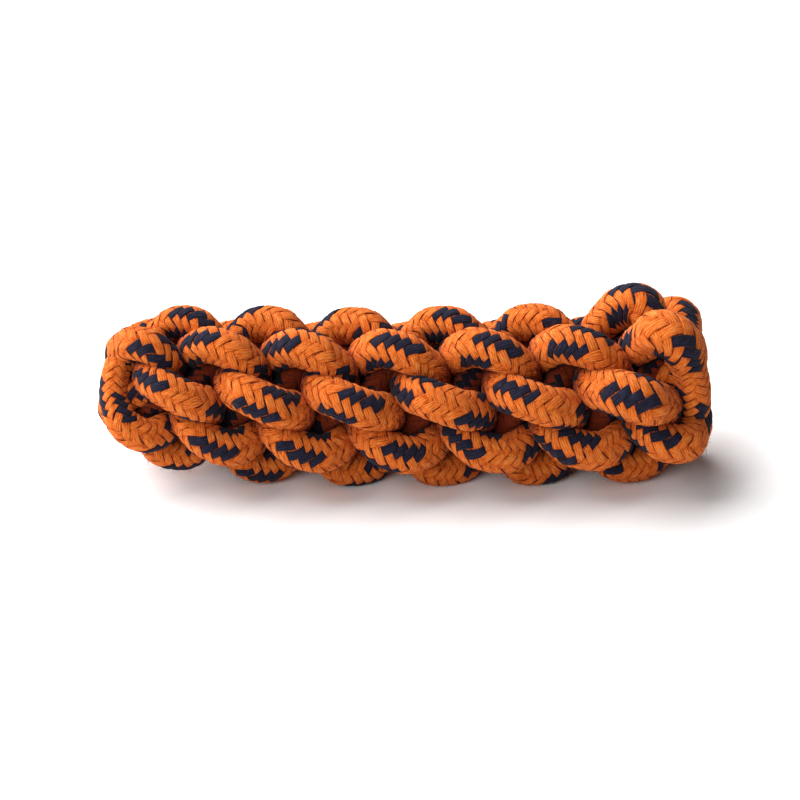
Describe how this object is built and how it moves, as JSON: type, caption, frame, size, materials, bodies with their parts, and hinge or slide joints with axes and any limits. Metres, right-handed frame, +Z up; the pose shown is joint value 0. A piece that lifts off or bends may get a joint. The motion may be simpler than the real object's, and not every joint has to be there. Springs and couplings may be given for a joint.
{
  "type": "rope dog toy",
  "caption": "Stick-shaped dog chew toy of thick braided cotton ropes worked crown on crown into a round sinnet, orange with navy flecks, for tugging and fetching.",
  "frame": {"origin": "on the surface the stick lies on, under the middle of its length and width", "axes": "+X along the stick, +Z up, with two rows of bights on the surface"},
  "size_m": [0.159, 0.0494, 0.0472],
  "materials": {
    "braided_cover": "matt braided cotton, orange with navy flecks",
    "filler_core": "undyed cotton filler yarn"
  },
  "bodies": {
    "root": {"rope_1_cover": "braided_cover", "rope_1_core": "filler_core", "rope_2_cover": "braided_cover", "rope_2_core": "filler_core", "rope_3_cover": "braided_cover", "rope_3_core": "filler_core", "rope_4_cover": "braided_cover", "rope_4_core": "filler_core"}
  },
  "joints": []
}
